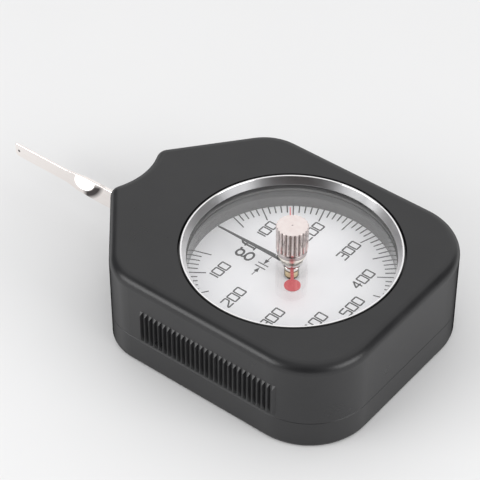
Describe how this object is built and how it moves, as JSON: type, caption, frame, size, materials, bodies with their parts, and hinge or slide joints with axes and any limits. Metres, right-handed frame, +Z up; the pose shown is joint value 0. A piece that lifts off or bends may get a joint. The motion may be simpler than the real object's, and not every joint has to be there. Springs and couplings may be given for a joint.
{
  "type": "force gauge",
  "caption": "Hand-held dial force gauge: a side-swinging feeler lever turns a pointer over a round two-way scale, with a peak pointer and a fluted reset knob.",
  "frame": {"origin": "on the flat underside of the back cover, directly below the dial axis", "axes": "+Z up through the dial towards the reset knob, the lever points along -X, the tail of the case is at +X"},
  "size_m": [0.1144, 0.0614, 0.0306],
  "materials": {
    "case_plastic": "fine matt texture, dark grey",
    "screw_steel": "turned",
    "bezel_metal": "bright turned ring",
    "crystal_clear": "polished clear window",
    "seal_rubber": "matt",
    "well_plastic": "smooth grey",
    "dial_white": "satin white",
    "brass": "satin",
    "spring_steel": "polished strip",
    "lever_steel": "polished",
    "pointer_black": "satin black",
    "pointer_red": "satin red",
    "knob_chrome": "fluted and polished"
  },
  "bodies": {
    "case": {"top_case": "case_plastic", "back_cover": "case_plastic", "cover_screws": "screw_steel", "bezel_ring": "bezel_metal", "crystal": "crystal_clear", "crystal_gasket": "seal_rubber", "well_ring": "well_plastic", "dial_plate": "dial_white", "upper_plate": "brass", "lower_plate": "brass", "plate_pillars": "brass", "upper_plate_screws": "screw_steel", "lower_plate_screws": "screw_steel", "movement_screws": "screw_steel", "lever_upper_bush": "brass", "lever_lower_bush": "brass", "arbor_upper_bush": "brass", "arbor_lower_bush": "brass", "stop_pins": "screw_steel", "main_spring": "spring_steel", "main_spring_stud": "brass", "hairspring": "spring_steel", "hairspring_stud": "brass", "crystal_bush": "knob_chrome", "bush_nut": "screw_steel", "friction_washer": "spring_steel"},
    "lever": {"feeler_lever": "lever_steel", "lever_hub": "brass", "lever_shaft": "lever_steel", "lever_rivets": "screw_steel", "sector_gear": "brass", "sector_screws": "screw_steel"},
    "pointer": {"pinion_arbor": "lever_steel", "hairspring_collet": "brass", "pointer_hub": "brass", "main_pointer": "pointer_black", "drive_pin": "screw_steel"},
    "peak_knob": {"reset_knob": "knob_chrome", "knob_stem": "screw_steel", "peak_pointer": "pointer_red", "peak_hub": "brass"}
  },
  "joints": [
    {"name": "lever_swing", "type": "hinge", "parent": "case", "child": "lever", "pos_m": [-0.0312, 0, 0.0095], "axis": [0, 0, 1], "range_deg": [-15, 15], "stiffness_Nm_per_rad": 0.97, "deforming": ["main_spring"]},
    {"name": "pointer_turn", "type": "hinge", "parent": "case", "child": "pointer", "pos_m": [0, 0, 0.0126], "axis": [0, 0, 1], "range_deg": [-180, 180], "deforming": ["hairspring"]},
    {"name": "peak_knob_turn", "type": "hinge", "parent": "case", "child": "peak_knob", "pos_m": [0, 0, 0.022], "axis": [0, 0, 1], "continuous": true}
  ],
  "couplings": [
    {"joint": "pointer_turn", "follows": "lever_swing", "ratio": -12}
  ]
}
